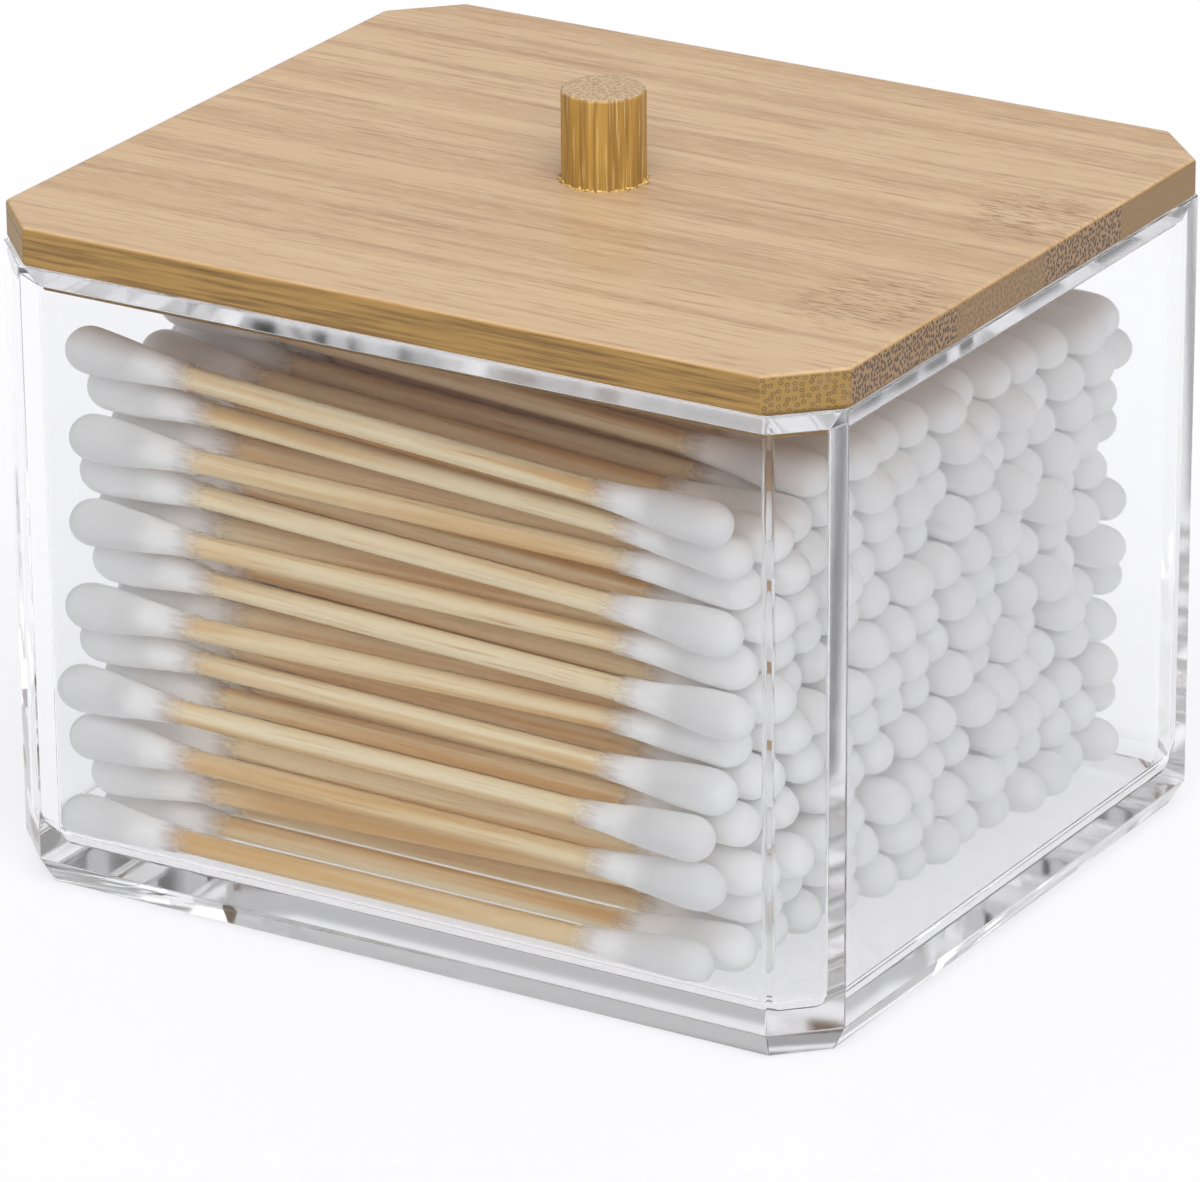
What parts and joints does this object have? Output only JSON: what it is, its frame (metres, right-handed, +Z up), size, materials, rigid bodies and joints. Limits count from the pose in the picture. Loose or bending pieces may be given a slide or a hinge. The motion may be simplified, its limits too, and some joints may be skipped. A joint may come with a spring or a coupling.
{
  "type": "cotton swab holder",
  "caption": "Clear moulded box with cut corners and a loose bamboo lid with a dowel knob, filled with double-ended bamboo cotton swabs.",
  "frame": {"origin": "centre of the foot, on the surface that the box stands on", "axes": "+X along the long front wall to the right, +Y from the front wall to the back, +Z up through the knob"},
  "size_m": [0.0944, 0.0806, 0.0785],
  "materials": {
    "clear_plastic": "clear moulded acrylic, polished inside and out",
    "lid_bamboo": "laminated bamboo board, sanded, satin clear oil, end grain at both short sides",
    "knob_bamboo": "bamboo dowel, sanded, satin",
    "stick_bamboo": "raw bamboo, matt",
    "cotton": "wound cotton wool, matt, softly fibrous"
  },
  "bodies": {
    "box": {"container": "clear_plastic", "sticks_layer_01": "stick_bamboo", "sticks_layer_02": "stick_bamboo", "sticks_layer_03": "stick_bamboo", "sticks_layer_04": "stick_bamboo", "sticks_layer_05": "stick_bamboo", "sticks_layer_06": "stick_bamboo", "sticks_layer_07": "stick_bamboo", "sticks_layer_08": "stick_bamboo", "sticks_layer_09": "stick_bamboo", "sticks_layer_10": "stick_bamboo", "sticks_layer_11": "stick_bamboo", "sticks_layer_12": "stick_bamboo", "buds_layer_01": "cotton", "buds_layer_02": "cotton", "buds_layer_03": "cotton", "buds_layer_04": "cotton", "buds_layer_05": "cotton", "buds_layer_06": "cotton", "buds_layer_07": "cotton", "buds_layer_08": "cotton", "buds_layer_09": "cotton", "buds_layer_10": "cotton", "buds_layer_11": "cotton", "buds_layer_12": "cotton"},
    "lid": {"lid_panel": "lid_bamboo", "lid_knob": "knob_bamboo"}
  },
  "joints": [
    {"name": "lid_lift", "type": "slide", "parent": "box", "child": "lid", "axis": [0, 0, 1], "range_m": [0, 0.09]}
  ]
}
